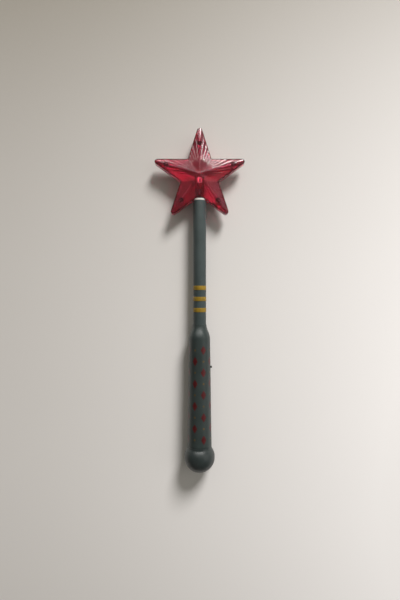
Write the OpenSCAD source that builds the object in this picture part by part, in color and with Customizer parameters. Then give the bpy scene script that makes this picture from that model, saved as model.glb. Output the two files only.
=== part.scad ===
// Light-up star wand: a clear two-shell star on a tube shaft, with a lamp, a slide
// switch, two cells in the grip and a ball pommel that unscrews to change them.
// Millimetres. +Z runs up the wand, the front faces -Y, origin at the foot of the ball.

/* [Star] */
// Radius from the star's centre to a rounded tip
star_r = 49; // [46:0.25:50]
// Radius from the star's centre to an inner corner
notch_r = 21.1; // [20:0.1:21.5]
// Height of the star's centre above the foot of the ball
star_z = 308.8; // [307:0.05:310]
// Depth of one shell at its crown
star_crown = 12; // [11.5:0.1:13]
// Depth of one shell's straight rim
star_rim = 3.65; // [3.4:0.05:4]
// Wall of the star shells
star_wall = 1.8; // [1.6:0.1:2]
// Depth of the ray grooves
groove = 0.5; // [0.2:0.05:0.6]

/* [Shaft] */
// Outer diameter of the shaft tube
shaft_d = 13.5; // [13.2:0.1:14]
// Wall of the shaft tube
shaft_wall = 1.2; // [1:0.05:1.3]
// Height of the shaft's upper end
shaft_top = 282.9; // [281:0.1:284]
// Diameter of the collar's rim
collar_d = 11.9; // [11.5:0.1:13]
// Width of each band
band_w = 4.4; // [3:0.1:6]
// Height of the lowest band's middle
band_z = 169.05; // [165:0.05:175]
// Distance between the bands
band_pitch = 11.45; // [8:0.05:14]

/* [Grip] */
// Diameter of the grip at its lower end
grip_low_d = 25; // [24.6:0.1:26]
// Diameter of the grip below the shoulder
grip_top_d = 22; // [21.8:0.1:23]
// Height where the shoulder starts
shoulder_z = 139; // [138.5:0.5:141]
// Height where the shoulder ends
shoulder_top = 153.9; // [151:0.1:157]
// Wall of the grip
grip_wall = 1.8; // [1.6:0.1:1.9]

/* [Pommel] */
// Diameter of the ball
ball_d = 31.7; // [31:0.1:33]
// Diameter of the cap's spigot
spigot_d = 19.7; // [19:0.1:19.7]

/* [Switch] */
// Height of the switch knob in its off position
knob_z = 109.7; // [109.5:0.1:110.5]
// Travel of the switch knob
knob_travel = 2; // [1.5:0.1:2.2]
// How far the knob stands out of the grip
knob_out = 1.4; // [0.8:0.1:2]

/* [Cells] */
// Diameter of one cell
cell_d = 10.5; // [10:0.1:10.5]
// Length of one cell with its button
cell_l = 44.5; // [44.2:0.1:44.5]

/* [Hidden] */
$fn = 96;
e = 0.01;

// ---- star outline -------------------------------------------------------------
tip_round = 2.8;
// The sharp tip whose rounding ends at star_r
tip_beta = 18;
star_sharp = star_r + tip_round * (1 / sin(tip_beta) - 1);
beta = atan(notch_r * sin(36) / (star_sharp - notch_r * cos(36)));
tip_c = star_sharp - tip_round / sin(beta);
// Outline radius at an angle f from the nearest tip, 0 to 36
function edge_r(f) = star_sharp * sin(beta) / sin(beta + f);
function out_r(f) = f < 3
    ? min(edge_r(f), tip_c * cos(f) + sqrt(tip_round * tip_round - pow(tip_c * sin(f), 2)))
    : edge_r(f);
in_scale = (star_sharp * sin(beta) - star_wall) / (star_sharp * sin(beta));
// The cavity keeps the wall's thickness round the tip
tip_in = tip_round - star_wall;
function in_r(f) = f < 1
    ? tip_c * cos(f) + sqrt(tip_in * tip_in - pow(tip_c * sin(f), 2))
    : edge_r(f) * in_scale;

// Angles round one arm: the crown line, the rounded tip, then every 3.6 degrees
arm = concat([-36], [for (k = [-9:-1]) 3.6 * k], [-2.4, -1.2, 0, 1.2, 2.4],
             [for (k = [1:9]) 3.6 * k]);
ang = [for (a = [0:4], f = arm) [90 + 72 * a + f, abs(f)]];
n = len(ang);
rim_in = star_rim - 1.65;
crown_in = star_crown - 1.9;
// Depth of the outer face at radius r on a ray whose outline radius is R
function face_h(r, R) = star_rim + (star_crown - star_rim) * (1 - r / R);
// Rays alternate ridge and groove; grooves start at 18 mm and fade near the tips
function is_groove(f) = f > 3 && (round(f / 3.6) % 2) == 1;
function gdepth(f, r) = !is_groove(f) || r < 17 ? 0 : groove * (r > 42 ? 0.1 : 1);
function pt(a, r, h) = [r * cos(a), -h, star_z + r * sin(a)];
function mid_r(f, t) = 18 + (out_r(f) - 18) * t;

// One closed shell: faces outwards on -Y, parting plane at y = 0
module star_skin() {
    outer = [
        [for (q = ang) pt(q[0], 16, face_h(16, edge_r(q[1])))],
        [for (q = ang) pt(q[0], 18, face_h(18, edge_r(q[1])) - gdepth(q[1], 18))],
        [for (q = ang) let (r = mid_r(q[1], 0.6))
            pt(q[0], r, face_h(r, edge_r(q[1])) - gdepth(q[1], r))],
        [for (q = ang) let (r = out_r(q[1]))
            pt(q[0], r, face_h(r, edge_r(q[1])) - gdepth(q[1], r))],
        [for (q = ang) pt(q[0], out_r(q[1]), 0)],
        [for (q = ang) pt(q[0], in_r(q[1]), 0)],
        [for (q = ang) pt(q[0], in_r(q[1]), rim_in)]
    ];
    m = len(outer);
    pts = concat([for (r = outer) each r],
                 [[0, -star_crown, star_z], [0, -crown_in, star_z]]);
    crown = m * n;
    pit = m * n + 1;
    faces = concat(
        [for (i = [0:n-1]) [crown, (i + 1) % n, i]],
        [for (j = [0:m-2], i = [0:n-1]) each
            [[j * n + i, j * n + (i + 1) % n, (j + 1) * n + i],
             [j * n + (i + 1) % n, (j + 1) * n + (i + 1) % n, (j + 1) * n + i]]],
        [for (i = [0:n-1]) [pit, (m - 1) * n + i, (m - 1) * n + (i + 1) % n]]);
    polyhedron(points = pts, faces = faces);
}

post_r = 2.4;
post_at = [[90, 32.4], [162, 36.6], [18, 36.6], [234, 32.4], [306, 32.4]];
function post_h(r) = rim_in + (crown_in - rim_in) * (1 - r / (star_sharp * in_scale)) + 0.4;
neck_r = 4;
neck_bore = 2.9;
neck_low = 272;

// A half of the star with its posts, its lamp channel and half of its neck
module star_half(pins) {
    difference() {
        union() {
            star_skin();
            for (p = post_at)
                translate([p[1] * cos(p[0]), 0, star_z + p[1] * sin(p[0])])
                    rotate([90, 0, 0]) cylinder(r = post_r, h = post_h(p[1]), $fn = 32);
            // lamp channel: two ribs beside the lamp
            for (s = [-1, 1])
                translate([s * 4, 0, 0]) rotate([90, 0, -90])
                    translate([0, 0, -0.5]) linear_extrude(1)
                        polygon([[0, star_z - 18.3], [0, star_z - 3],
                                 [9.6, star_z - 3], [4.0, star_z - 18.3]]);
            // half of the neck that plugs into the collar
            intersection() {
                translate([0, 0, neck_low]) cylinder(r = neck_r, h = star_z - 17.6 - neck_low);
                translate([-10, -10, neck_low - 1]) cube([20, 10, 60]);
            }
        }
        translate([0, 0, neck_low - 1])
            cylinder(r = neck_bore, h = star_z - 17 - neck_low + 1);
        // recess in the lower arms that seats over the collar's rim
        difference() {
            translate([0, 0, neck_low - 2]) cylinder(d = collar_d + 0.4, h = shaft_top + 2.05 - neck_low + 2);
            translate([0, 0, neck_low - 3]) cylinder(r = neck_r + 0.3, h = 40);
        }
        if (!pins)
            for (p = post_at)
                translate([p[1] * cos(p[0]), 1, star_z + p[1] * sin(p[0])])
                    rotate([90, 0, 0]) cylinder(r = 1.25, h = 3.6, $fn = 32);
    }
    if (pins)
        for (p = post_at)
            translate([p[1] * cos(p[0]), 2.2, star_z + p[1] * sin(p[0])])
                rotate([90, 0, 0]) cylinder(r = 1.2, h = 3.2, $fn = 32);
}

module star_front_shell() {
    color([0.72, 0.10, 0.16, 0.7]) star_half(true);
}

module star_back_shell() {
    color([0.62, 0.08, 0.13, 0.7]) rotate([0, 0, 180]) mirror([1, 0, 0]) star_half(false);
}

// ---- lamp -----------------------------------------------------------------------
lamp_z = 299.2;
module led_lamp() {
    color([0.95, 0.55, 0.55, 0.8]) translate([0, 0, lamp_z])
        rotate_extrude() polygon(concat([[0, 0], [2.9, 0], [2.9, 1.0], [2.5, 1.0]],
            [for (a = [0:10:90]) [2.5 * cos(a), 6.2 + 2.5 * sin(a)]]));
}

module led_leads() {
    color("silver") for (s = [-1, 1])
        translate([-0.25, s * 1.27 - 0.25, 290.2]) cube([0.5, 0.5, lamp_z - 290.2]);
}

module led_holder() {
    color([0.75, 0.2, 0.22]) difference() {
        translate([0, 0, 294.6]) cylinder(r = 3.3, h = 6.4);
        translate([0, 0, lamp_z - 0.05]) cylinder(r = 2.95, h = 3);
        for (s = [-1, 1]) translate([0, s * 1.27, 294]) cylinder(r = 0.5, h = 6, $fn = 24);
    }
}

// ---- shaft ------------------------------------------------------------------------
shaft_low = 140;
module neck_collar() {
    color("white") difference() {
        union() {
            translate([0, 0, 268]) cylinder(d = shaft_d - 2 * shaft_wall - 0.1, h = shaft_top - 268 + e);
            translate([0, 0, shaft_top]) cylinder(d = collar_d, h = 1.5);
            translate([0, 0, shaft_top + 1.5]) cylinder(d1 = collar_d, d2 = collar_d - 0.8, h = 0.4);
        }
        translate([0, 0, 271.5]) cylinder(r = neck_r + 0.05, h = 20);
        translate([0, 0, 260]) cylinder(r = 2.8, h = 20);
    }
}

module shaft_tube() {
    color([0.27, 0.31, 0.31]) difference() {
        translate([0, 0, shaft_low]) cylinder(d = shaft_d, h = shaft_top - shaft_low);
        translate([0, 0, shaft_low - 1]) cylinder(d = shaft_d - 2 * shaft_wall, h = shaft_top);
    }
}

module band(i) {
    color([0.49, 0.38, 0.10])
        translate([0, 0, band_z + i * band_pitch - band_w / 2]) difference() {
            cylinder(d = shaft_d + 0.4, h = band_w);
            translate([0, 0, -1]) cylinder(d = shaft_d + 0.04, h = band_w + 2);
        }
}
module band_lower() { band(0); }
module band_middle() { band(1); }
module band_upper() { band(2); }

// ---- grip -------------------------------------------------------------------------
seam_z = 27.5;
thread_top = 42;
function grip_r(z) = grip_low_d / 2 + (grip_top_d - grip_low_d) / 2 * (z - 28.8) / 110;
lip_r = shaft_d / 2 + 0.4;
// Shoulder: half a cosine from the grip's radius to the lip round the shaft
function shoulder_r(t) = lip_r + (grip_r(shoulder_z) - lip_r) * (1 + cos(180 * t)) / 2;
module grip_shell() {
    steps = 14;
    color([0.22, 0.24, 0.23]) difference() {
        rotate_extrude() polygon(concat(
            [[11.2, seam_z], [grip_r(seam_z) - 0.25, seam_z], [grip_r(seam_z + 0.25), seam_z + 0.25]],
            [for (i = [0:steps]) let (t = i / steps)
                [shoulder_r(t), shoulder_z + t * (shoulder_top - shoulder_z)]],
            [[shaft_d / 2 + 0.05, shoulder_top], [shaft_d / 2 + 0.05, shaft_low],
             [5.4, shaft_low], [5.4, shaft_low - 1.8],
             [7.4, shaft_low - 1.8], [grip_r(136) - grip_wall, 135.5],
             [grip_r(44) - grip_wall, 44], [spigot_d / 2 + 0.05, thread_top],
             [spigot_d / 2 + 0.05, 29.1], [11.2, 29.1]]));
        // window for the switch knob
        translate([5, -1.3, knob_z - 1.3]) cube([12, 2.6, knob_travel + 2.6]);
    }
}

// ---- electrics above the cells -------------------------------------------------------
board_y = 2.05;
module wire(y, z_low, end_y) {
    translate([0, y, z_low]) cylinder(r = 0.65, h = 290.2 - z_low, $fn = 24);
    translate([0, end_y, z_low + 1]) rotate([90, 0, 0]) cylinder(r = 0.45, h = end_y - y, $fn = 24);
}
module wire_red() { color("red") wire(-1.27, 125.6, board_y); }
module wire_black() { color([0.1, 0.1, 0.1]) wire(1.27, 129.6, board_y); }

module circuit_board() {
    color("darkgreen") difference() {
        translate([-7.5, board_y, 105.5]) cube([15.5, 1, 28]);
        for (z = [112, 128]) translate([-4.3, 0, z]) rotate([-90, 0, 0]) cylinder(r = 1.1, h = 5, $fn = 32);
        for (i = [-1:1]) translate([4.7, 0, 111 + 2.5 * i]) rotate([-90, 0, 0]) cylinder(r = 0.45, h = 5, $fn = 24);
    }
}

module board_screws() {
    color("silver") for (z = [112, 128]) translate([-4.3, board_y, z]) rotate([-90, 0, 0]) {
        difference() {
            translate([0, 0, -1.3]) cylinder(r = 1.9, h = 1.3, $fn = 48);
            translate([-1.4, -0.25, -1.4]) cube([2.8, 0.5, 0.7]);
            translate([-0.25, -1.4, -1.4]) cube([0.5, 2.8, 0.7]);
        }
        translate([0, 0, -e]) cylinder(r = 1.0, h = 4.5, $fn = 48);
    }
}

module resistor() {
    color("tan") translate([3.5, 0.85, 118.4]) cylinder(r = 1.15, h = 6, $fn = 48);
    color("silver") {
        translate([3.5, 0.85, 116.7]) cylinder(r = 0.3, h = 9.4, $fn = 24);
        for (z = [117.1, 125.7]) translate([3.5, 0.85, z]) rotate([-90, 0, 0])
            cylinder(r = 0.26, h = board_y - 0.85, $fn = 24);
    }
}

sw_z = 106.7;
sw_l = 8.6;
module switch_base() {
    color([0.15, 0.15, 0.15]) translate([4.2, -1.45, sw_z + 0.35]) cube([2, 2.9, sw_l - 0.7]);
}
module switch_cover() {
    color("lightgray") difference() {
        translate([5.2, -1.8, sw_z]) cube([3.5, 3.6, sw_l]);
        translate([5, -1.5, sw_z + 0.3]) cube([3.4, 3, sw_l - 0.6]);
        translate([7, -1.3, knob_z - 1.3]) cube([3, 2.6, knob_travel + 2.6]);
    }
}
module switch_pins() {
    color("silver") for (i = [-1:1])
        translate([4.7, 1.45, 111 + 2.5 * i]) rotate([-90, 0, 0]) cylinder(r = 0.35, h = 2.1, $fn = 24);
}
module switch_knob() {
    tip = grip_r(knob_z) + knob_out;
    color([0.05, 0.05, 0.05]) {
        difference() {
            translate([6.6, -1, knob_z - 1]) cube([tip - 6.6, 2, 2]);
            for (z = [-0.5, 0.5]) translate([tip - 0.25, -2, knob_z + z - 0.15]) cube([1, 4, 0.3]);
        }
    }
}

module contact_carrier() {
    color([0.85, 0.85, 0.8]) difference() {
        union() {
            translate([0, 0, 103.4]) cylinder(r = 9.4, h = 1.8);
            translate([-6, board_y + 1.05, 105.2 - e]) cube([12, 2.9, 27.8]);
        }
        translate([0, 0, 103]) cylinder(r = 1.25, h = 4, $fn = 48);
        translate([-1.3, 6.05, 102]) cube([2.6, 0.6, 5]);
        for (z = [112, 128]) translate([-4.3, 0, z]) rotate([-90, 0, 0]) cylinder(r = 1.05, h = 8, $fn = 48);
        translate([3.6, board_y, 106.5]) cube([2.2, 2.4, 9]);
    }
}

module positive_contact() {
    color("gold") {
        translate([0, 0, 103]) cylinder(r = 4.4, h = 0.35);
        translate([0, 0, 103.2]) cylinder(r = 1.2, h = 3.2, $fn = 48);
    }
}

// ---- cells --------------------------------------------------------------------------
cells_low = 14;
module cell(z) {
    translate([0, 0, z]) {
        translate([0, 0, 0.3]) cylinder(d = cell_d, h = cell_l - 1.3);
        cylinder(d = cell_d - 2.2, h = 0.4);
        translate([0, 0, cell_l - 1.1]) cylinder(d = 3.8, h = 1.1, $fn = 48);
    }
}
module battery_lower() { color([0.1, 0.1, 0.12]) cell(cells_low); }
module battery_upper() { color([0.1, 0.1, 0.12]) cell(cells_low + cell_l); }

module battery_tube() {
    color([0.9, 0.9, 0.88]) difference() {
        union() {
            translate([0, 0, 16]) cylinder(r = 6.15, h = 86.8);
            for (a = [45:90:315]) rotate([0, 0, a])
                translate([5.8, -0.6, 44.5]) cube([3.6, 1.2, 58.3]);
        }
        translate([0, 0, 15]) cylinder(r = 5.45, h = 90);
    }
}

module return_strip() {
    color("gold") translate([-1, 6.2, 18]) cube([2, 0.25, 89]);
}

// ---- pommel ------------------------------------------------------------------------
ball_c = ball_d / 2;
face_z = 27.2;
module pommel_ball() {
    neck = grip_r(seam_z);
    // lower pole up to the fillet, in even steps along the sphere
    arc = [for (a = [-90:5:30]) [ball_c * cos(a), ball_c + ball_c * sin(a)]];
    color([0.22, 0.24, 0.23]) difference() {
        rotate_extrude() polygon(concat(arc,
            [[ball_c * cos(33), ball_c + ball_c * sin(33)],
             [neck + 0.36, 25.15], [neck + 0.1, 25.9], [neck, 26.7], [neck, face_z - 0.25],
             [neck - 0.25, face_z], [spigot_d / 2, face_z],
             [spigot_d / 2, 39.2], [spigot_d / 2 - 0.8, 40], [0, 40]]));
        translate([0, 0, 8.4]) cylinder(r = 7, h = 40);
    }
}

module pommel_seal() {
    color([0.08, 0.08, 0.08]) translate([0, 0, face_z + 0.1]) difference() {
        cylinder(r = 10.85, h = 1.4);
        translate([0, 0, -1]) cylinder(r = spigot_d / 2 + 0.05, h = 4);
    }
}

module cap_contact() {
    color("gold") difference() {
        translate([0, 0, 8.45]) cylinder(r = 6.95, h = 23);
        translate([0, 0, 9]) cylinder(r = 6.7, h = 30);
    }
}

module battery_spring() {
    // a plain helix of round wire with 8 sides, clear of itself at every turn
    R = 3.4;
    w = 0.35;
    per = 14;
    turns = 4;
    m = turns * per;
    rings = [for (i = [0:m], k = [0:7]) let (a = 360 * i / per, b = 45 * k,
            z = 9.38 + i * (3.9 / m))
        [(R + w * cos(b)) * cos(a), (R + w * cos(b)) * sin(a), z + w * sin(b)]];
    color("silver") polyhedron(points = rings, faces = concat(
        [[for (k = [0:7]) k]],
        [for (i = [0:m-1], k = [0:7]) each
            [[i * 8 + k, (i + 1) * 8 + k, (i + 1) * 8 + (k + 1) % 8],
             [i * 8 + k, (i + 1) * 8 + (k + 1) % 8, i * 8 + (k + 1) % 8]]],
        [[for (k = [7:-1:0]) m * 8 + k]]));
}

star_front_shell();
star_back_shell();
led_lamp();
led_leads();
led_holder();
neck_collar();
shaft_tube();
band_upper();
band_middle();
band_lower();
grip_shell();
wire_red();
wire_black();
circuit_board();
board_screws();
resistor();
switch_base();
switch_cover();
switch_pins();
switch_knob();
contact_carrier();
positive_contact();
battery_upper();
battery_lower();
battery_tube();
return_strip();
battery_spring();
cap_contact();
pommel_seal();
pommel_ball();
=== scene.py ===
"""Light-up star wand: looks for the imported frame. Metres, row frame: +Z up the wand, front to -Y."""
import bpy
import bmesh
import math
from mathutils import Vector, Matrix, noise


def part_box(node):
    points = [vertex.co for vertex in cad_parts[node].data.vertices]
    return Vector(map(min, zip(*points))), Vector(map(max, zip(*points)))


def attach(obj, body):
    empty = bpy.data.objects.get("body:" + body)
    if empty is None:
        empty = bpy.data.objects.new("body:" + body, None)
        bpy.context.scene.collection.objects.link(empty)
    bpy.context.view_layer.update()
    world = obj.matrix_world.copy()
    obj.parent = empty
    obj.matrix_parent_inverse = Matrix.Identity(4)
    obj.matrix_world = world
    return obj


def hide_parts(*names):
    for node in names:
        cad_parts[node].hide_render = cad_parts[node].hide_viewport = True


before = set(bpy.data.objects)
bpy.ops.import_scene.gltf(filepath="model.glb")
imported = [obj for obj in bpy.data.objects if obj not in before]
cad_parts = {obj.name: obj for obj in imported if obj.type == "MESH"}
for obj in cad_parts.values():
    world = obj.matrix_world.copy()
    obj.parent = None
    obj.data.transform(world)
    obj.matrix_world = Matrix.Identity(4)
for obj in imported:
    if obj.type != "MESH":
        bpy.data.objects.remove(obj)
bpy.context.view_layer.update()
MM = 0.001
rad = math.radians

# ------------------------------------------------------------------ sizes, read from the frame
star_lo, star_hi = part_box("star_front_shell")
shaft_lo, shaft_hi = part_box("shaft_tube")
collar_lo, collar_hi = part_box("neck_collar")
grip_lo, grip_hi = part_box("grip_shell")
ball_lo, ball_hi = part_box("pommel_ball")
knob_lo, knob_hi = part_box("switch_knob")

STAR_Z = 308.8       # centre of the star
STAR_R = 49.0        # rounded tip
NOTCH_R = 21.1
CROWN = 12.0
RIM = 3.65
WALL = 1.8


BETA0 = rad(18)
TIP = 2.8
SHARP_R = STAR_R + TIP * (1 / math.sin(BETA0) - 1)
BETA = math.atan2(NOTCH_R * math.sin(rad(36)), SHARP_R - NOTCH_R * math.cos(rad(36)))
TIP_C = SHARP_R - TIP / math.sin(BETA)
SIN_B, COS_B = math.sin(BETA), math.cos(BETA)
IN_SCALE = (SHARP_R * SIN_B - WALL) / (SHARP_R * SIN_B)


# ------------------------------------------------------------------ mesh helpers
def new_object(name, verts, faces, sharp=None):
    mesh = bpy.data.meshes.new(name)
    mesh.from_pydata([tuple(c * MM for c in v) for v in verts], [], faces)
    mesh.validate()
    o = bpy.data.objects.new(name, mesh)
    bpy.context.scene.collection.objects.link(o)
    recalc(o)
    shade(o, sharp)
    return o


def recalc(o):
    bm = bmesh.new()
    bm.from_mesh(o.data)
    bmesh.ops.remove_doubles(bm, verts=bm.verts, dist=2e-7)
    bmesh.ops.recalc_face_normals(bm, faces=bm.faces)
    bm.to_mesh(o.data)
    bm.free()


def shade(o, sharp=None):
    m = o.data
    for p in m.polygons:
        p.use_smooth = True
    if sharp is not None:
        m.set_sharp_from_angle(angle=rad(sharp))


def bake_modifiers(o):
    """Applies the object's modifiers into its mesh."""
    dg = bpy.context.evaluated_depsgraph_get()
    dg.update()
    m = bpy.data.meshes.new_from_object(o.evaluated_get(dg), depsgraph=dg)
    old = o.data
    o.modifiers.clear()
    o.data = m
    m.name = o.name
    bpy.data.meshes.remove(old)


def boolean(o, other, operation):
    mod = o.modifiers.new("b", "BOOLEAN")
    mod.operation = operation
    try:
        mod.solver = "MANIFOLD"
    except TypeError:
        mod.solver = "EXACT"
    mod.object = other
    bake_modifiers(o)
    bpy.data.objects.remove(other, do_unlink=True)


def rounded(pts, corners, n=5):
    """A closed outline with the corners {index: radius} rounded by arcs of n steps."""
    out = []
    k = len(pts)
    for i, p in enumerate(pts):
        r = corners.get(i, 0)
        if not r:
            out.append(p)
            continue
        a = Vector(pts[i - 1]) - Vector(p)
        b = Vector(pts[(i + 1) % k]) - Vector(p)
        la, lb = a.length, b.length
        a.normalize(); b.normalize()
        half = math.acos(max(-1, min(1, a.dot(b)))) / 2
        d = min(r / math.tan(half), la * 0.49, lb * 0.49)
        rr = d * math.tan(half)
        c = Vector(p) + (a + b).normalized() * (rr / math.sin(half))
        t0 = Vector(p) + a * d - c
        t1 = Vector(p) + b * d - c
        a0 = math.atan2(t0.y, t0.x)
        a1 = math.atan2(t1.y, t1.x)
        da = (a1 - a0 + math.pi) % (2 * math.pi) - math.pi
        for j in range(n + 1):
            t = a0 + da * j / n
            out.append((c.x + rr * math.cos(t), c.y + rr * math.sin(t)))
    return out


def lathe(name, profile, seg=128, sharp=40, closed=True):
    """Turns a profile of (r, z) in mm about Z. closed joins its last point to its first."""
    verts, rings = [], []
    for r, z in profile:
        if abs(r) < 1e-6:
            verts.append((0, 0, z))
            rings.append([len(verts) - 1] * seg)
        else:
            base = len(verts)
            for i in range(seg):
                a = 2 * math.pi * i / seg
                verts.append((r * math.cos(a), r * math.sin(a), z))
            rings.append([base + i for i in range(seg)])
    faces = []
    pairs = list(zip(rings, rings[1:] + ([rings[0]] if closed else [])))
    for p, q in (pairs if closed else pairs[: len(rings) - 1]):
        for i in range(seg):
            j = (i + 1) % seg
            f = []
            for v in (p[i], p[j], q[j], q[i]):
                if v not in f:
                    f.append(v)
            if len(f) >= 3:
                faces.append(f)
    return new_object(name, verts, faces, sharp)


def box_object(name, lo, hi):
    (a, b, c), (d, e, f) = lo, hi
    v = [(a, b, c), (d, b, c), (d, e, c), (a, e, c), (a, b, f), (d, b, f), (d, e, f), (a, e, f)]
    q = [(0, 3, 2, 1), (4, 5, 6, 7), (0, 1, 5, 4), (1, 2, 6, 5), (2, 3, 7, 6), (3, 0, 4, 7)]
    return new_object(name, v, q, 30)


def rod(name, x, z, y0, y1, r, seg=40, round_end=0.25):
    """A round post along Y with a rounded far end."""
    s = 1 if y1 > y0 else -1
    prof = [(0, y0), (r, y0), (r, y1 - s * round_end), (r - round_end * 0.3, y1 - s * round_end * 0.3),
            (r - round_end, y1), (0, y1)]
    verts, rings = [], []
    for rr, y in prof:
        if rr < 1e-6:
            verts.append((x, y, z))
            rings.append([len(verts) - 1] * seg)
        else:
            base = len(verts)
            verts += [(x + rr * math.cos(2 * math.pi * i / seg), y, z + rr * math.sin(2 * math.pi * i / seg))
                      for i in range(seg)]
            rings.append([base + i for i in range(seg)])
    faces = []
    for p, q in zip(rings, rings[1:]):
        for i in range(seg):
            j = (i + 1) % seg
            f = []
            for v in (p[i], p[j], q[j], q[i]):
                if v not in f:
                    f.append(v)
            if len(f) >= 3:
                faces.append(f)
    return new_object(name, verts, faces, 30)


# ------------------------------------------------------------------ node helpers
class Mat:
    """A small builder for node materials."""

    def __init__(self, name):
        self.m = bpy.data.materials.new(name)
        self.m.use_nodes = True
        self.nt = self.m.node_tree
        self.nt.nodes.clear()
        self.out = self.nt.nodes.new("ShaderNodeOutputMaterial")
        self.p = self.nt.nodes.new("ShaderNodeBsdfPrincipled")
        self.nt.links.new(self.p.outputs["BSDF"], self.out.inputs["Surface"])
        self._xyz = None

    def node(self, kind, **props):
        n = self.nt.nodes.new(kind)
        for k, v in props.items():
            setattr(n, k, v)
        return n

    def put(self, socket, value):
        if hasattr(value, "is_output"):
            self.nt.links.new(value, socket)
        elif value is not None:
            socket.default_value = value
        return socket

    def set(self, **values):
        for k, v in values.items():
            self.put(self.p.inputs[k.replace("_", " ")], v)
        return self

    def math(self, op, a, b=None, c=None, clamp=False):
        n = self.node("ShaderNodeMath", operation=op, use_clamp=clamp)
        self.put(n.inputs[0], a)
        if b is not None:
            self.put(n.inputs[1], b)
        if c is not None:
            self.put(n.inputs[2], c)
        return n.outputs[0]

    def coords(self):
        n = self.node("ShaderNodeTexCoord")
        return n.outputs["Object"]

    def xyz(self):
        if self._xyz is None:
            s = self.node("ShaderNodeSeparateXYZ")
            self.nt.links.new(self.coords(), s.inputs[0])
            self._xyz = s.outputs
        return self._xyz

    def noise(self, scale, detail=4.0, rough=0.55, stretch=None, seed=0.0):
        v = self.coords()
        if stretch or seed:
            m = self.node("ShaderNodeMapping")
            self.nt.links.new(v, m.inputs["Vector"])
            if stretch:
                m.inputs["Scale"].default_value = stretch
            m.inputs["Location"].default_value = (seed, seed * 1.7, -seed)
            v = m.outputs["Vector"]
        n = self.node("ShaderNodeTexNoise")
        self.nt.links.new(v, n.inputs["Vector"])
        n.inputs["Scale"].default_value = scale
        n.inputs["Detail"].default_value = detail
        n.inputs["Roughness"].default_value = rough
        return n.outputs["Fac"]

    def ramp(self, fac, lo, hi, a=0.0, b=1.0):
        """Maps fac from lo..hi to a..b, clamped, smoothly."""
        n = self.node("ShaderNodeMapRange", interpolation_type="SMOOTHSTEP")
        self.put(n.inputs["Value"], fac)
        self.put(n.inputs["From Min"], lo)
        self.put(n.inputs["From Max"], hi)
        self.put(n.inputs["To Min"], a)
        self.put(n.inputs["To Max"], b)
        return n.outputs["Result"]

    def mix(self, fac, a, b, blend="MIX"):
        n = self.node("ShaderNodeMix", data_type="RGBA", blend_type=blend)
        self.put(n.inputs[0], fac)
        self.put(n.inputs[6], a)
        self.put(n.inputs[7], b)
        return n.outputs[2]

    def bump(self, height, strength, distance, normal=None):
        n = self.node("ShaderNodeBump")
        n.inputs["Strength"].default_value = strength
        n.inputs["Distance"].default_value = distance
        self.nt.links.new(height, n.inputs["Height"])
        if normal is not None:
            self.nt.links.new(normal, n.inputs["Normal"])
        return n.outputs["Normal"]


def rgb(r, g, b):
    return (r, g, b, 1.0)


def satin_plastic(name, base, vary=0.12, rough=0.5, grain=2600, grain_bump=0.06, spec=0.5, cloud=70):
    """Moulded, painted plastic: cloudy tone, fine grain, faint handling marks."""
    m = Mat(name)
    cloudy = m.noise(cloud, 3.0, 0.6)
    fine = m.noise(900, 2.0, 0.5, seed=3.1)
    lo = rgb(*(c * (1 - vary) for c in base))
    hi = rgb(*(c * (1 + vary) for c in base))
    tone = m.mix(m.ramp(cloudy, 0.3, 0.7), lo, hi)
    tone = m.mix(m.ramp(fine, 0.35, 0.8, 0.0, 0.35), tone, rgb(*(c * (1 + 2.2 * vary) for c in base)))
    scuff = m.noise(120, 6.0, 0.7, stretch=(6.0, 6.0, 1.0), seed=7.7)
    r = m.math("ADD", m.ramp(cloudy, 0.3, 0.7, rough - 0.04, rough + 0.05),
               m.ramp(scuff, 0.55, 0.75, 0.0, 0.06))
    n = m.bump(m.noise(grain, 2.0, 0.5), grain_bump, 0.0002)
    m.set(Base_Color=tone, Roughness=r, Normal=n)
    m.p.inputs["Specular IOR Level"].default_value = spec
    return m


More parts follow.
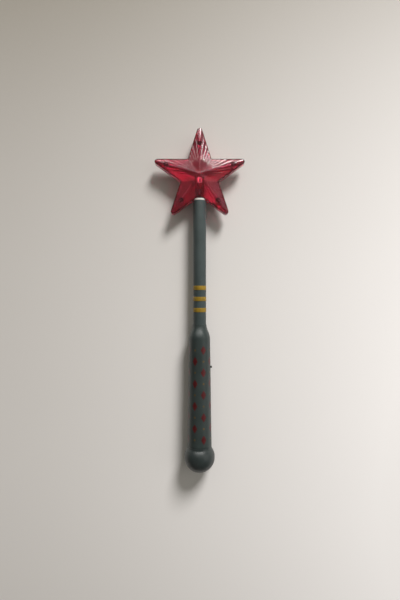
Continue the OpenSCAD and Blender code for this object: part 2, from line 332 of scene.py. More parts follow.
# ------------------------------------------------------------------ materials
def grip_material(base, name):
    """The grip's satin grey with a printed repeat: diamonds and small dots in eight columns."""
    m = satin_plastic(name, base, vary=0.10, rough=0.41, grain=2400, grain_bump=0.07, spec=0.7)
    nt = m.nt
    tone = m.p.inputs["Base Color"].links[0].from_socket
    x, y, z = m.xyz()[0], m.xyz()[1], m.xyz()[2]
    ang = m.math("ARCTAN2", x, m.math("MULTIPLY", y, -1.0))
    u = m.math("DIVIDE", m.math("SUBTRACT", ang, rad(20.5)), rad(45.0))
    col = m.math("ROUND", u)
    du = m.math("SUBTRACT", u, col)
    # arc length across the column in metres, from the local radius
    r2 = m.math("SQRT", m.math("ADD", m.math("MULTIPLY", x, x), m.math("MULTIPLY", y, y)))
    ds = m.math("ABSOLUTE", m.math("MULTIPLY", m.math("MULTIPLY", du, rad(45.0)), r2))
    odd = m.math("ABSOLUTE", m.math("MODULO", col, 2.0))
    pitch = 0.02283
    v = m.math("SUBTRACT", m.math("DIVIDE", m.math("SUBTRACT", 0.12795, z), pitch),
               m.math("MULTIPLY", odd, 0.5))
    dv = m.math("ABSOLUTE", m.math("MULTIPLY", m.math("SUBTRACT", v, m.math("ROUND", v)), pitch))
    wob = m.noise(700, 2.0, 0.5, seed=1.3)
    edge = m.ramp(wob, 0.2, 0.8, -0.035, 0.035)
    # slightly bowed sides: a norm between 1 and 2
    e = 1.12
    shape = m.math("ADD", m.math("POWER", m.math("DIVIDE", ds, 0.0027), e),
                   m.math("POWER", m.math("DIVIDE", dv, 0.0046), e))
    dia = m.ramp(m.math("ADD", shape, edge), 0.94, 1.05, 1.0, 0.0)
    zin = m.math("MULTIPLY", m.ramp(z, 0.0300, 0.0302), m.ramp(z, 0.1352, 0.1354, 1.0, 0.0))
    dia = m.math("MULTIPLY", dia, zin)
    # dots halfway between the diamonds
    v2 = m.math("ADD", v, 0.5)
    dv2 = m.math("MULTIPLY", m.math("SUBTRACT", v2, m.math("ROUND", v2)), pitch)
    dist = m.math("SQRT", m.math("ADD", m.math("MULTIPLY", ds, ds), m.math("MULTIPLY", dv2, dv2)))
    dot = m.math("MULTIPLY", m.ramp(m.math("ADD", m.math("DIVIDE", dist, 0.00115), edge), 0.85, 1.1, 1.0, 0.0), zin)
    worn = m.noise(420, 5.0, 0.7, seed=5.5)
    dia = m.math("MULTIPLY", dia, m.ramp(worn, 0.22, 0.36, 0.55, 1.0))
    dot = m.math("MULTIPLY", dot, m.ramp(worn, 0.25, 0.55, 0.45, 0.95))
    red = m.mix(m.ramp(m.noise(260, 3.0, 0.6, seed=9.0), 0.3, 0.7),
                rgb(0.052, 0.0010, 0.0022), rgb(0.086, 0.0020, 0.0036))
    gold = m.mix(m.ramp(m.noise(500, 3.0, 0.6, seed=2.0), 0.3, 0.7),
                 rgb(0.070, 0.048, 0.012), rgb(0.112, 0.066, 0.022))
    tone = m.mix(dia, tone, red)
    tone = m.mix(dot, tone, gold)
    m.put(m.p.inputs["Base Color"], tone)
    rough = m.p.inputs["Roughness"].links[0].from_socket
    ink = m.math("MAXIMUM", dia, dot)
    m.put(m.p.inputs["Roughness"], m.math("SUBTRACT", rough, m.math("MULTIPLY", ink, 0.05)))
    # the ink stands a little proud
    n0 = m.p.inputs["Normal"].links[0].from_socket
    m.put(m.p.inputs["Normal"], m.bump(ink, 0.25, 0.00006, n0))
    return m.m


def star_material(name, base, rough, transmission, coat, coat_rough):
    """Clear red plastic, a little cloudy, with painted shade along the outline, at the valley ends and round the
    posts, and a painted highlight in each post's middle.
    """
    m = Mat(name)
    cloud = m.noise(60, 3.0, 0.6)
    tone = m.mix(m.ramp(cloud, 0.3, 0.7), rgb(*(c * 0.9 for c in base)), rgb(*(min(1, c * 1.08) for c in base)))
    x, y, z = m.xyz()[0], m.xyz()[1], m.xyz()[2]
    up = m.math("SUBTRACT", z, STAR_Z * MM)
    r = m.math("SQRT", m.math("ADD", m.math("MULTIPLY", x, x), m.math("MULTIPLY", up, up)))
    f = m.math("PINGPONG", m.math("SUBTRACT", m.math("ARCTAN2", up, x), rad(90)), rad(36))
    along = m.math("MULTIPLY", r, m.math("COSINE", f))
    across = m.math("MULTIPLY", r, m.math("SINE", f))

    def far(px):
        q = m.math("SUBTRACT", along, px)
        return m.math("SQRT", m.math("ADD", m.math("MULTIPLY", q, q), m.math("MULTIPLY", across, across)))

    # distance in from the outline, straight edge and rounded tip
    d = m.math("SUBTRACT", SHARP_R * SIN_B * MM,
               m.math("ADD", m.math("MULTIPLY", along, SIN_B), m.math("MULTIPLY", across, COS_B)))
    nose = m.math("SUBTRACT", TIP * MM, far(TIP_C * MM))
    past = m.math("GREATER_THAN", along, (TIP_C + 0.6) * MM)
    d = m.math("ADD", m.math("MULTIPLY", d, m.math("SUBTRACT", 1.0, past)), m.math("MULTIPLY", nose, past))
    face = m.ramp(m.math("ABSOLUTE", y), 0.0030, 0.0034)
    wob = m.ramp(m.noise(260, 2.0, 0.5, seed=8.0), 0.3, 0.7, -0.0002, 0.0002)
    # painted shade: a dark line just inside the outline on both faces, made weaker on the right of the top arm where
    # the light falls
    painted_rim_shade = m.math("MULTIPLY", m.ramp(m.math("ADD", d, wob), 0.0005, 0.0013, 1.0, 0.0), face)
    lit_top_right = m.math("MULTIPLY", m.ramp(x, 0.0, 0.001), m.ramp(up, 0.0180, 0.0190))
    painted_rim_shade = m.math("MULTIPLY", painted_rim_shade, m.math("SUBTRACT", 1.0, m.math("MULTIPLY", lit_top_right, 0.7)))
    # painted shade: small dark notches where the valleys end at the outline
    t = m.math("ABSOLUTE", m.math("SUBTRACT", m.math("FRACT", m.math("DIVIDE", f, rad(7.2))), 0.5))
    painted_notch_shade = m.math("MULTIPLY", m.ramp(t, 0.10, 0.24, 1.0, 0.0), m.ramp(d, 0.0012, 0.0026, 1.0, 0.0))
    painted_notch_shade = m.math("MULTIPLY", m.math("MULTIPLY", painted_notch_shade, face), m.ramp(r, 0.042, 0.044, 1.0, 0.0))
    # posts: painted shade in a ring round each post and a painted highlight in its middle
    side_arm = m.math("LESS_THAN", m.math("ABSOLUTE", m.math("SUBTRACT", up, 0.0113)), 0.008)
    q = far(m.math("ADD", 0.0324, m.math("MULTIPLY", side_arm, 0.0042)))
    ring = m.ramp(m.math("ABSOLUTE", m.math("SUBTRACT", q, 0.0017)), 0.0003, 0.0009, 1.0, 0.0)
    painted_post_glint = m.ramp(q, 0.0005, 0.0011, 1.0, 0.0)
    # painted shade from the outline, notch and post-ring masks in dark maroon, then the painted highlight in pale
    # pink
    painted_shade = m.math("MAXIMUM", m.math("MULTIPLY", painted_rim_shade, 0.90),
                  m.math("MAXIMUM", m.math("MULTIPLY", painted_notch_shade, 0.75), m.math("MULTIPLY", ring, 0.62)))
    tone = m.mix(painted_shade, tone, rgb(0.16, 0.006, 0.012))
    tone = m.mix(m.math("MULTIPLY", painted_post_glint, 0.6), tone, rgb(0.98, 0.62, 0.66))
    m.set(Base_Color=tone)
    m.set(Roughness=m.ramp(m.noise(300, 4.0, 0.6, seed=4.0), 0.35, 0.75, rough, rough + 0.05))
    m.p.inputs["Transmission Weight"].default_value = transmission
    m.p.inputs["IOR"].default_value = 1.5
    m.p.inputs["Coat Weight"].default_value = coat
    m.p.inputs["Coat Roughness"].default_value = coat_rough
    m.set(Normal=m.bump(m.noise(700, 3.0, 0.5), 0.05, 0.0002))
    return m.m


def lens_material():
    """The lamp's hazy clear resin. Its emission is painted light: a faint painted glow, stronger in painted highlight
    stripes round the cup and its lead post.
    """
    m = Mat("lamp_lens")
    x, z = m.xyz()[0], m.xyz()[2]
    haze = m.noise(700, 3.0, 0.6)
    cup = m.math("MULTIPLY", m.ramp(m.math("ABSOLUTE", m.math("SUBTRACT", x, 0.0003)), 0.0004, 0.0010, 1.0, 0.0),
                 m.math("MULTIPLY", m.ramp(z, 0.3015, 0.3025), m.ramp(z, 0.3052, 0.3060, 1.0, 0.0)))
    tone = m.mix(m.ramp(haze, 0.3, 0.7), rgb(0.97, 0.80, 0.78), rgb(0.99, 0.92, 0.90))
    tone = m.mix(m.math("MULTIPLY", cup, 0.9), tone, rgb(0.10, 0.02, 0.02))
    m.set(Base_Color=tone, Roughness=m.ramp(m.noise(1200, 2.0, 0.5), 0.3, 0.7, 0.06, 0.12))
    m.p.inputs["Transmission Weight"].default_value = 0.25
    m.p.inputs["IOR"].default_value = 1.53
    # painted highlights: two glowing stripes either side of the cup above its base, over a faint painted glow
    # everywhere
    painted_glint_left = m.ramp(m.math("ABSOLUTE", m.math("ADD", x, 0.0012)), 0.0003, 0.0009, 1.0, 0.0)
    painted_glint_right = m.ramp(m.math("ABSOLUTE", m.math("SUBTRACT", x, 0.0018)), 0.0003, 0.0008, 0.5, 0.0)
    painted_glow = m.math("MULTIPLY", m.math("ADD", painted_glint_left, painted_glint_right), m.ramp(z, 0.3020, 0.3030))
    painted_glow = m.math("ADD", m.math("MULTIPLY", painted_glow, 0.75), 0.16)
    m.set(Emission_Strength=m.math("MULTIPLY", painted_glow, m.math("SUBTRACT", 1.0, m.math("MULTIPLY", cup, 0.9))))
    m.p.inputs["Emission Color"].default_value = rgb(1.0, 0.62, 0.62)
    return m.m


def metal_material(name, base, rough=0.3, streak=(40.0, 40.0, 2.0)):
    m = Mat(name)
    s = m.noise(300, 4.0, 0.65, stretch=streak)
    t = m.mix(m.ramp(s, 0.3, 0.7), rgb(*(c * 0.82 for c in base)), rgb(*(min(1, c * 1.12) for c in base)))
    spots = m.ramp(m.noise(500, 5.0, 0.7, seed=6.0), 0.58, 0.72)
    t = m.mix(m.math("MULTIPLY", spots, 0.35), t, rgb(*(c * 0.5 for c in base)))
    m.set(Base_Color=t, Roughness=m.ramp(s, 0.3, 0.7, rough, rough + 0.18),
          Normal=m.bump(s, 0.08, 0.0001))
    m.p.inputs["Metallic"].default_value = 1.0
    return m.m


def board_material():
    m = Mat("board_green")
    x, z = m.xyz()[0], m.xyz()[2]
    tracks = m.math("LESS_THAN", m.math("ABSOLUTE", m.math("SINE", m.math("ADD",
        m.math("MULTIPLY", x, 2100.0), m.math("MULTIPLY", m.math("SINE", m.math("MULTIPLY", z, 420.0)), 1.6)))), 0.32)
    t = m.mix(m.ramp(m.noise(500, 3.0, 0.5), 0.3, 0.7), rgb(0.014, 0.095, 0.035), rgb(0.022, 0.13, 0.05))
    t = m.mix(m.math("MULTIPLY", tracks, 0.55), t, rgb(0.05, 0.24, 0.08))
    m.set(Base_Color=t, Roughness=m.ramp(m.noise(900, 3.0, 0.5), 0.3, 0.7, 0.28, 0.4))
    m.set(Normal=m.bump(tracks, 0.15, 0.0001))
    return m.m


def cell_material():
    m = Mat("cell_sleeve")
    z = m.xyz()[2]
    # a copper-coloured top third on each cell, black below, bare steel at the ends
    t = m.math("FRACT", m.math("DIVIDE", m.math("SUBTRACT", z, 0.014), 0.0445))
    top = m.ramp(t, 0.655, 0.665)
    end = m.math("MAXIMUM", m.ramp(t, 0.012, 0.016, 1.0, 0.0), m.ramp(t, 0.970, 0.974))
    grime = m.noise(400, 4.0, 0.6)
    c = m.mix(top, rgb(0.018, 0.019, 0.021), m.mix(m.ramp(grime, 0.3, 0.7), rgb(0.42, 0.18, 0.06), rgb(0.5, 0.24, 0.09)))
    c = m.mix(end, c, rgb(0.55, 0.55, 0.54))
    m.set(Base_Color=c, Metallic=m.math("MULTIPLY", m.math("MAXIMUM", top, end), 0.85),
          Roughness=m.ramp(grime, 0.3, 0.7, 0.25, 0.4))
    return m.m


def resistor_material():
    m = Mat("resistor_bands")
    z, x, y = m.xyz()[2], m.xyz()[0], m.xyz()[1]
    t = m.math("DIVIDE", m.math("SUBTRACT", z, 0.1184), 0.006)
    body = m.mix(m.ramp(m.noise(900, 3.0, 0.5), 0.3, 0.7), rgb(0.52, 0.37, 0.2), rgb(0.62, 0.46, 0.27))
    for at, c in ((0.2, (0.35, 0.02, 0.02)), (0.4, (0.02, 0.02, 0.02)), (0.6, (0.2, 0.07, 0.02)), (0.82, (0.55, 0.38, 0.1))):
        b = m.ramp(m.math("ABSOLUTE", m.math("SUBTRACT", t, at)), 0.045, 0.06, 1.0, 0.0)
        body = m.mix(b, body, rgb(*c))
    lead = m.math("MAXIMUM", m.ramp(t, -0.004, 0.004, 1.0, 0.0), m.ramp(t, 0.996, 1.004))
    m.set(Base_Color=m.mix(lead, body, rgb(0.6, 0.6, 0.6)), Metallic=m.math("MULTIPLY", lead, 0.9),
          Roughness=m.ramp(m.noise(700, 3.0, 0.5), 0.3, 0.7, 0.3, 0.42))
    return m.m


GRIP = (0.025, 0.036, 0.035)
SHAFT = (0.046, 0.062, 0.063)
M = {
    "grip": grip_material(GRIP, "grip_print"),
    "ball": satin_plastic("pommel_grey", (0.019, 0.027, 0.027), vary=0.1, rough=0.40, grain=2400, grain_bump=0.06, spec=0.8).m,
    "shaft": satin_plastic("shaft_grey", SHAFT, vary=0.1, rough=0.45, grain=2600, grain_bump=0.05).m,
    "band": satin_plastic("band_yellow", (0.245, 0.150, 0.012), vary=0.16, rough=0.4, grain=1800, grain_bump=0.08, cloud=260).m,
    "collar": satin_plastic("collar_white", (0.62, 0.61, 0.57), vary=0.05, rough=0.45, grain=2000).m,
    "star_front": star_material("star_red_front", (0.87, 0.19, 0.30), 0.20, 0.965, 0.2, 0.38),
    "star_back": star_material("star_red_back", (0.34, 0.020, 0.044), 0.28, 0.08, 0.3, 0.35),
    "lens": lens_material(),
    "black": satin_plastic("switch_black", (0.008, 0.008, 0.008), vary=0.2, rough=0.4, grain=3000).m,
    "rubber": satin_plastic("seal_rubber", (0.014, 0.014, 0.015), vary=0.25, rough=0.7, grain=3000, grain_bump=0.15, spec=0.3).m,
    "liner": satin_plastic("liner_plastic", (0.58, 0.57, 0.52), vary=0.06, rough=0.55, grain=1600).m,
    "holder": satin_plastic("holder_plastic", (0.35, 0.05, 0.06), vary=0.12, rough=0.45, grain=2000).m,
    "wire_red": satin_plastic("wire_red", (0.45, 0.012, 0.012), vary=0.12, rough=0.4, grain=1500).m,
    "wire_black": satin_plastic("wire_black", (0.012, 0.012, 0.012), vary=0.2, rough=0.4, grain=1500).m,
    "brass": metal_material("contact_brass", (0.80, 0.55, 0.24), 0.28),
    "steel": metal_material("plated_steel", (0.62, 0.62, 0.61), 0.25),
    "board": board_material(),
    "cell": cell_material(),
    "resistor": resistor_material(),
}


def give(o, material):
    o.data.materials.clear()
    o.data.materials.append(material)


NODE_LOOK = {
    "led_leads": "steel", "led_holder": "holder", "wire_red": "wire_red", "wire_black": "wire_black",
    "circuit_board": "board", "board_screws": "steel", "resistor": "resistor", "switch_base": "black",
    "switch_cover": "steel", "switch_pins": "steel", "contact_carrier": "liner", "positive_contact": "brass",
    "battery_upper": "cell", "battery_lower": "cell", "battery_tube": "liner", "return_strip": "brass",
    "battery_spring": "steel", "cap_contact": "brass",
}
for node, look in NODE_LOOK.items():
    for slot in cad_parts[node].material_slots:
        slot.material = M[look]

# ------------------------------------------------------------------ star shells
def edge_r(f):
    """Outline radius at the angle f (degrees, 0 to 36) from the nearest tip, sharp."""
    return SHARP_R * SIN_B / math.sin(BETA + rad(f))


def outline_r(f):
    r = edge_r(f)
    if f < 3.3:
        s = TIP * TIP - (TIP_C * math.sin(rad(f))) ** 2
        if s > 0:
            r = min(r, TIP_C * math.cos(rad(f)) + math.sqrt(s))
    # a small fillet in the inner corner
    if f > 33:
        t = (f - 33) / 3
        r += 0.42 * t * t
    return r


def inner_r(f):
    """The cavity's outline keeps the wall's thickness round the tip."""
    if f < 1.2:
        s = (TIP - WALL) ** 2 - (TIP_C * math.sin(rad(f))) ** 2
        if s > 0:
            return TIP_C * math.cos(rad(f)) + math.sqrt(s)
    return edge_r(f) * IN_SCALE


def smooth(t):
    t = max(0.0, min(1.0, t))
    return t * t * (3 - 2 * t)


def face_height(rho, f):
    """Height of the outer face above the parting plane, with the crown ridge eased towards the tip."""
    x = rho * math.cos(rad(f))
    y = rho * math.sin(rad(f))
    ease = 0.12 + 1.3 * smooth((rho - 30) / 14)
    yy = math.sqrt(y * y + ease * ease) - ease * 0.35
    return RIM + (CROWN - RIM) * (1 - (x * SIN_B + yy * COS_B) / (SHARP_R * SIN_B))


def groove_depth(rho, f, R):
    """Rays: narrow rounded ridges 7.2 degrees apart with wider flat-bottomed valleys between them."""
    t = (f / 7.2) % 1.0
    tri = 1 - abs(2 * t - 1)              # 0 on a ridge, 1 in a valley
    wave = 1 - (1 - tri) ** 2.1
    a = smooth((rho - 11.0) / 10.0)
    a *= 1 - smooth((rho - 36.0) / 5.0)
    return 0.44 * a * wave


def shell_mesh(name, side):
    """One half of the star. side -1 is the front. A closed skin, 1.8 mm thick."""
    angles = []
    for arm in range(5):
        fs = [-36 + 0.6 * k for k in range(0, 58)] + [-1.5 + 0.25 * k for k in range(0, 12)] + \
             [1.5 + 0.6 * k for k in range(0, 58)]
        fs = sorted({round(f, 3) for f in fs if -36 <= f < 36})
        angles += [(90 + 72 * arm + f, abs(f)) for f in fs]
    n = len(angles)
    rings = []

    def ring(fn):
        rings.append([fn(a, f) for a, f in angles])

    def at(a, r, h):
        return (r * math.cos(rad(a)), side * h, STAR_Z + r * math.sin(rad(a)))

    stations = [0.06, 0.14, 0.24, 0.31, 0.36, 0.41, 0.46, 0.52, 0.58, 0.64, 0.70, 0.74, 0.78, 0.82, 0.86, 0.90, 0.94, 0.97]
    for s in stations:
        ring(lambda a, f, s=s: at(a, outline_r(f) * s, face_height(outline_r(f) * s, f)
                                  - groove_depth(outline_r(f) * s, f, outline_r(f))))
    # eased outer edge, straight rim, small chamfer at the parting line
    for dr, dh in ((0.42, 0.0), (0.16, -0.10), (0.03, -0.30), (0.0, -0.62)):
        def edge(a, f, dr=dr, dh=dh):
            R = outline_r(f) - dr
            top = min(face_height(R, f), RIM + 0.30) - 0.55 * groove_depth(min(R, 40), f, R)
            return at(a, R, top + dh)
        ring(edge)
    ring(lambda a, f: at(a, outline_r(f), 0.22))
    ring(lambda a, f: at(a, outline_r(f) - 0.2, 0.02))
    rim_in = RIM - 1.65
    ring(lambda a, f: at(a, inner_r(f), 0.02))
    ring(lambda a, f: at(a, inner_r(f), rim_in))
    crown_in = CROWN - 1.9
    for s in (0.8, 0.6, 0.4, 0.2, 0.08):
        ring(lambda a, f, s=s: at(a, inner_r(f) * s, rim_in + (crown_in - rim_in) * (1 - s)))
    verts = [v for r in rings for v in r]
    m = len(rings)
    crown, pit = len(verts), len(verts) + 1
    verts += [(0, side * (face_height(0.0, 0) - 0.05), STAR_Z), (0, side * crown_in, STAR_Z)]
    faces = [(crown, i, (i + 1) % n) for i in range(n)]
    for j in range(m - 1):
        for i in range(n):
            k = (i + 1) % n
            faces.append((j * n + i, (j + 1) * n + i, (j + 1) * n + k, j * n + k))
    faces += [(pit, (m - 1) * n + (i + 1) % n, (m - 1) * n + i) for i in range(n)]
    return new_object(name, verts, faces, None)


POSTS = [(90, 32.4), (162, 36.6), (18, 36.6), (234, 32.4), (306, 32.4)]


def post_height(r):
    return (RIM - 1.65) + (CROWN - 1.9 - RIM + 1.65) * (1 - r / (SHARP_R * IN_SCALE)) + 0.4


def half_neck(name, side, r_out, r_in, z0, z1):
    """Half a tube on one side of the parting plane."""
    seg = 40
    verts, n = [], seg + 1
    for z in (z0, z1):
        for r in (r_out, r_in):
            for i in range(n):
                a = math.pi * i / seg
                verts.append((r * math.cos(a), side * (0.02 + r * math.sin(a)), z))
    o0, i0, o1, i1 = 0, n, 2 * n, 3 * n
    faces = []
    for i in range(seg):
        faces += [(o0 + i, o0 + i + 1, o1 + i + 1, o1 + i), (i0 + i + 1, i0 + i, i1 + i, i1 + i + 1),
                  (o0 + i + 1, o0 + i, i0 + i, i0 + i + 1), (o1 + i, o1 + i + 1, i1 + i + 1, i1 + i)]
    faces += [(o0, o1, i1, i0), (o0 + seg, i0 + seg, i1 + seg, o1 + seg)]
    return new_object(name, verts, faces, 30)


def prism(name, outline, x0, x1):
    """An outline of (y, z) extruded along x."""
    k = len(outline)
    verts = [(x, y, z) for x in (x0, x1) for y, z in outline]
    faces = [tuple(range(k)), tuple(range(2 * k - 1, k - 1, -1))]
    faces += [(i, i + k, (i + 1) % k + k, (i + 1) % k) for i in range(k)]
    return new_object(name, verts, faces, 30)


def star_half(name, side):
    o = shell_mesh(name, side)
    for a, r in POSTS:
        x, z = r * math.cos(rad(a)), STAR_Z + r * math.sin(rad(a))
        post = rod("post", x, z, side * 0.02, side * post_height(r), 2.4, round_end=0.2)
        boolean(o, post, "UNION")
    for s in (-1, 1):
        rib = prism("rib", [(side * 0.02, STAR_Z - 18.3), (side * 0.02, STAR_Z - 3), (side * 9.6, STAR_Z - 3),
                            (side * 4.0, STAR_Z - 18.3)], s * 4 - 0.5, s * 4 + 0.5)
        boolean(o, rib, "UNION")
    neck = half_neck("neck", side, 4.0, 2.9, 272.0, STAR_Z - 17.6)
    boolean(o, neck, "UNION")
    # clear way for the lamp's leads through the lower inner corner
    bore = lathe("bore", [(0, 270.0), (2.9, 270.0), (2.9, STAR_Z - 17.0), (0, STAR_Z - 17.0)], 64, closed=False)
    boolean(o, bore, "DIFFERENCE")
    # recess over the collar's rim
    seat = lathe("seat", [(4.3, 269.0), (6.15, 269.0), (6.15, 284.95), (4.3, 284.95)], 96)
    boolean(o, seat, "DIFFERENCE")
    if side > 0:
        for a, r in POSTS:
            x, z = r * math.cos(rad(a)), STAR_Z + r * math.sin(rad(a))
            boolean(o, rod("socket", x, z, -1.0, 2.6, 1.25, round_end=0.05), "DIFFERENCE")
    else:
        for a, r in POSTS:
            x, z = r * math.cos(rad(a)), STAR_Z + r * math.sin(rad(a))
            boolean(o, rod("pin", x, z, -1.0, 2.2, 1.2, round_end=0.3), "UNION")
    recalc(o)
    shade(o, 26)
    return o


star_front = star_half("star_front", -1)
give(star_front, M["star_front"])
star_back = star_half("star_back", 1)
give(star_back, M["star_back"])
for piece, node in ((star_front, "star_front_shell"), (star_back, "star_back_shell")):
    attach(piece, "wand")
    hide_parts(node)

# ------------------------------------------------------------------ lamp
lz = 299.2
lens_prof = [(0, lz), (2.25, lz), (2.25, lz + 0.02), (2.9, lz + 0.02), (2.9, lz + 0.9), (2.82, lz + 1.0), (2.5, lz + 1.02)]
lens_prof += [(2.5 * math.cos(rad(a)), lz + 6.2 + 2.5 * math.sin(rad(a))) for a in range(0, 91, 6)]
lens_prof[-1] = (0, lens_prof[-1][1])
lens = lathe("lamp_lens", lens_prof, 64, 40, closed=False)
give(lens, M["lens"])
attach(lens, "wand")
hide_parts("led_lamp")

# ------------------------------------------------------------------ collar, shaft and bands
top = shaft_hi[2] / MM
ctop = collar_hi[2] / MM
collar = lathe("collar", rounded([(5.5, 268.0), (5.5, top), (5.95, top), (5.95, ctop), (4.05, ctop), (4.05, 271.5),
                                  (2.8, 271.5), (2.8, 268.0)], {3: 0.45, 4: 0.2}, 4), 96, 35)
give(collar, M["collar"])
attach(collar, "wand"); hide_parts("neck_collar")

shaft = lathe("shaft", rounded([(6.75, 140.0), (6.75, top), (5.55, top), (5.55, 140.0)],
                               {0: 0.3, 1: 0.35, 2: 0.25, 3: 0.2}, 5), 128, 35)
give(shaft, M["shaft"])
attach(shaft, "wand"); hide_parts("shaft_tube")

for node in ("band_lower", "band_middle", "band_upper"):
    lo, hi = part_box(node)
    z0, z1 = lo[2] / MM, hi[2] / MM
    r = hi[0] / MM
    b = lathe(node.replace("band", "stripe"), rounded([(6.77, z0), (r, z0), (r, z1), (6.77, z1)], {1: 0.12, 2: 0.12}, 4), 128, 50)
    give(b, M["band"])
    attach(b, "wand"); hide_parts(node)

# ------------------------------------------------------------------ grip
SEAM = 27.5


def grip_r(z):
    return 12.5 - 1.5 * (z - 28.8) / 110.0


prof = [(11.2, SEAM), (grip_r(SEAM) - 0.10, SEAM), (grip_r(SEAM) - 0.03, SEAM + 0.03), (grip_r(SEAM + 0.12), SEAM + 0.12)]
prof += [(grip_r(z), z) for z in range(30, 139, 3)]
steps = 40
lip = 6.75 + 0.4
for i in range(steps + 1):
    t = i / steps
    prof.append((lip + (grip_r(139.0) - lip) * (1 + math.cos(math.pi * t)) / 2, 139.0 + t * 14.9))
prof[-1] = (lip - 0.05, 153.9)
prof += [(6.8, 153.9), (6.8, 140.0), (5.4, 140.0), (5.4, 138.2), (7.4, 138.2), (grip_r(136) - 1.8, 135.5),
         (grip_r(44) - 1.8, 44.0), (9.9, 42.0), (9.9, 29.1), (11.2, 29.1)]
grip = lathe("grip", prof, 160, 35)
kz = (knob_lo[2] / MM + 1.0)
slot_cut = box_object("slot_cut", (5, -1.3, kz - 1.3), (17, 1.3, kz + 3.3))
bev = slot_cut.modifiers.new("bev", "BEVEL")
bev.width = 0.35 * MM
bev.segments = 4
bake_modifiers(slot_cut)
boolean(grip, slot_cut, "DIFFERENCE")
shade(grip, 30)
give(grip, M["grip"])
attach(grip, "wand"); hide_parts("grip_shell")

# ------------------------------------------------------------------ switch knob
tip = knob_hi[0] / MM
knob = box_object("knob", (6.6, -1, kz - 1), (tip, 1, kz + 1))
bev = knob.modifiers.new("bev", "BEVEL")
bev.width = 0.22 * MM
bev.segments = 3
bake_modifiers(knob)
for dz in (-0.5, 0.0, 0.5):
    boolean(knob, box_object("rib", (tip - 0.22, -2, kz + dz - 0.1), (tip + 1, 2, kz + dz + 0.1)), "DIFFERENCE")
shade(knob, 30)
give(knob, M["black"])
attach(knob, "knob"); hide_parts("switch_knob")

# ------------------------------------------------------------------ pommel
BC = 15.85
FACE = 27.2
nr = grip_r(SEAM)
bp = [(0, 0)] + [(BC * math.cos(rad(a)), BC + BC * math.sin(rad(a))) for a in range(-87, 31, 3)]
# concave neck: a smooth blend from the sphere to the grip's line
x0, z0 = BC * math.cos(rad(33)), BC + BC * math.sin(rad(33))
x1, z1 = nr, 26.75
for i in range(0, 11):
    t = i / 10
    h00 = 2 * t ** 3 - 3 * t ** 2 + 1; h10 = t ** 3 - 2 * t ** 2 + t
    h01 = -2 * t ** 3 + 3 * t ** 2; h11 = t ** 3 - t ** 2
    k = 2.6
    bp.append((h00 * x0 + h10 * k * -math.sin(rad(33)) + h01 * x1 + h11 * k * -0.02,
               h00 * z0 + h10 * k * math.cos(rad(33)) + h01 * z1 + h11 * k * 1.0))
bp += [(nr, FACE + 0.10), (nr - 0.03, FACE + 0.19), (nr - 0.10, FACE + 0.22), (9.9, FACE + 0.22), (9.9, FACE), (9.85, FACE), (9.85, 39.2), (9.05, 40.0),
       (7.0, 40.0), (7.0, 8.4), (0, 8.4)]
ball = lathe("pommel", bp, 160, 35, closed=False)
give(ball, M["ball"])
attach(ball, "pommel_cap"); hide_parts("pommel_ball")

seal = lathe("seal", rounded([(9.9, FACE + 0.1), (10.85, FACE + 0.1), (10.85, FACE + 1.5), (9.9, FACE + 1.5)],
                             {0: 0.4, 1: 0.4, 2: 0.4, 3: 0.4}, 5), 96, 50)
give(seal, M["rubber"])
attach(seal, "pommel_carriage"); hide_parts("pommel_seal")

# ------------------------------------------------------------------ stage: the pale surface behind
WALL_LIGHT_FALLOFF = (0.6992, 0.8531, -0.5923, 0.8312, -0.4595, -1.365, -1.114, -0.6306, -1.309, 0.2259)
WALL_DARK = (0.3253, 0.2989, 0.2649)
WALL_LIGHT = (1.016, 0.9894, 1.002)


def wall():
    tilt = math.atan2(15.9 - 12.05, 308.5 - 16.0)   # touches the ball and the star's back
    s = 8000.0
    verts = []
    for x in (-s, s):
        for z in (-s, s):
            verts.append((x, 15.9 - math.tan(tilt) * (z - 16.0) + 0.1, z))
    o = new_object("backdrop", verts, [(0, 2, 3, 1)], None)
    # normal towards the camera
    if o.data.polygons[0].normal.y > 0:
        o.data.flip_normals()
    m = Mat("backdrop_paper")
    x = m.math("MAXIMUM", m.math("MINIMUM", m.xyz()[0], 0.22), -0.22)
    z = m.math("SUBTRACT", m.math("MAXIMUM", m.math("MINIMUM", m.xyz()[2], 0.51), -0.15), 0.18)

    def plus(*t):
        total = t[0]
        for q in t[1:]:
            total = m.math("ADD", total, q)
        return total

    def times(k, *t):
        for q in t:
            k = m.math("MULTIPLY", k, q)
        return k

    # painted light: a smooth change of tone over the sheet that stands for the light falling off across it
    terms = ((), (x,), (z,), (x, x), (x, z), (z, z), (x, x, x), (x, x, z), (x, z, z), (z, z, z))
    tone = plus(*[times(k, *t) if t else k for k, t in zip(WALL_LIGHT_FALLOFF, terms)])
    tone = plus(tone, m.ramp(m.noise(3.0, 3.0, 0.5), 0.3, 0.7, -0.006, 0.006))
    tone = m.math("DIVIDE", m.math("SUBTRACT", m.math("MINIMUM", m.math("MAXIMUM", tone, 0.30), 0.96), 0.3), 0.7)
    m.set(Base_Color=m.mix(tone, rgb(*WALL_DARK), rgb(*WALL_LIGHT)), Roughness=m.ramp(m.noise(400, 3.0, 0.5), 0.3, 0.7, 0.75, 0.85),
          Normal=m.bump(m.noise(350, 4.0, 0.6), 0.04, 0.0005))
    # seen from behind it lets the object show
    tr = m.node("ShaderNodeBsdfTransparent")
    mx = m.node("ShaderNodeMixShader")
    geo = m.node("ShaderNodeNewGeometry")
    m.nt.links.new(geo.outputs["Backfacing"], mx.inputs[0])
    m.nt.links.new(m.p.outputs[0], mx.inputs[1])
    m.nt.links.new(tr.outputs[0], mx.inputs[2])
    m.nt.links.new(mx.outputs[0], m.out.inputs["Surface"])
    give(o, m.m)
    o.visible_shadow = False
    return o


wall()

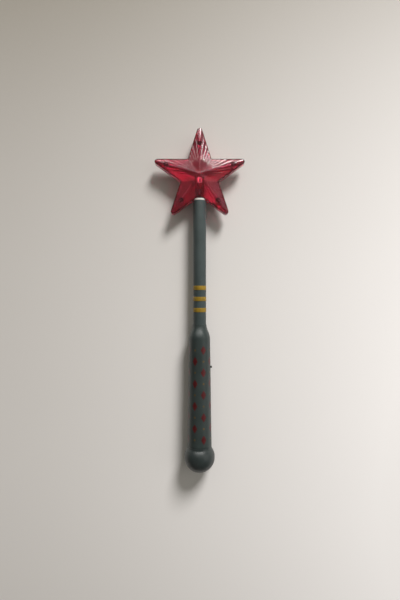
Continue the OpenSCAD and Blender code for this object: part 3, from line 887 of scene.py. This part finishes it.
# ------------------------------------------------------------------ camera and light
cam = bpy.data.cameras.new("camera")
cam.sensor_fit = "VERTICAL"
cam.sensor_height = 36.0
cam.sensor_width = 24.0
cam.lens = 36.0 * 440.0 / 627.0
cam_o = bpy.data.objects.new("camera", cam)
cam_o.location = (0.0004, -0.440, 0.17943)
cam_o.rotation_euler = (rad(90), 0, 0)
bpy.context.scene.collection.objects.link(cam_o)
bpy.context.scene.camera = cam_o


def area(name, at, look, size, power, color=(1, 1, 1), glossy=True, diffuse=True):
    l = bpy.data.lights.new(name, "AREA")
    l.shape = "ELLIPSE" if isinstance(size, tuple) else "DISK"
    if isinstance(size, tuple):
        l.size, l.size_y = size
    else:
        l.size = size
    l.energy = power
    l.color = color
    o = bpy.data.objects.new(name, l)
    o.location = at
    d = Vector(look) - Vector(at)
    o.rotation_euler = d.to_track_quat("-Z", "Y").to_euler()
    o.visible_glossy = glossy
    o.visible_diffuse = diffuse
    bpy.context.scene.collection.objects.link(o)
    return o


MID = Vector((0, 0, 0.18))


def panel(name, direction, distance, degrees, radiance, color=(1, 1, 1), glossy=True, diffuse=True):
    """A round soft panel of that angular width, facing the wand, with that radiance."""
    d = Vector(direction).normalized()
    size = 2 * distance * math.tan(rad(degrees / 2))
    area(name, MID + d * distance, MID, size, radiance * math.pi * math.pi * (size / 2) ** 2, color, glossy, diffuse)


panel("key", (0.600, -1.0, 1.380), 3.0, 19, 9.0, (1.0, 0.985, 0.955))
panel("key_soft", (0.600, -1.0, 1.380), 3.05, 19, 35.5, (1.0, 0.985, 0.955), glossy=False)
area("ceiling", MID + Vector((-0.08, -0.62, 0.80)).normalized() * 3.0, MID, (3.6, 1.5),
     4.6 * math.pi * math.pi * 0.25 * 3.6 * 1.5, (1.0, 0.98, 0.95), diffuse=False)
# behind the sheet, which casts no shadow: lights the back of the wand only
panel("back", (-0.4, 1.0, 0.7), 3.0, 60, 1.5, (1.0, 0.98, 0.95))
panel("fill", (0.1, -1.0, 0.35), 3.1, 100, 0.24, (1.0, 0.97, 0.80), glossy=False)
panel("side", (1.0, -0.75, 0.10), 3.0, 50, 0.6, (1.0, 0.98, 0.95))
panel("low", (-0.3, -0.8, -0.7), 3.0, 60, 0.10, (1.0, 0.95, 0.85))

world = bpy.data.worlds.new("studio")
bpy.context.scene.world = world
world.use_nodes = True
bg = world.node_tree.nodes["Background"]
bg.inputs["Color"].default_value = (1.0, 0.97, 0.88, 1.0)
path = world.node_tree.nodes.new("ShaderNodeLightPath")
pale = world.node_tree.nodes.new("ShaderNodeMapRange")
world.node_tree.links.new(path.outputs["Is Camera Ray"], pale.inputs["Value"])
pale.inputs["To Min"].default_value = 0.05
pale.inputs["To Max"].default_value = 0.62
world.node_tree.links.new(pale.outputs["Result"], bg.inputs["Strength"])

bpy.context.scene.view_settings.view_transform = "Standard"
bpy.context.scene.view_settings.look = "None"
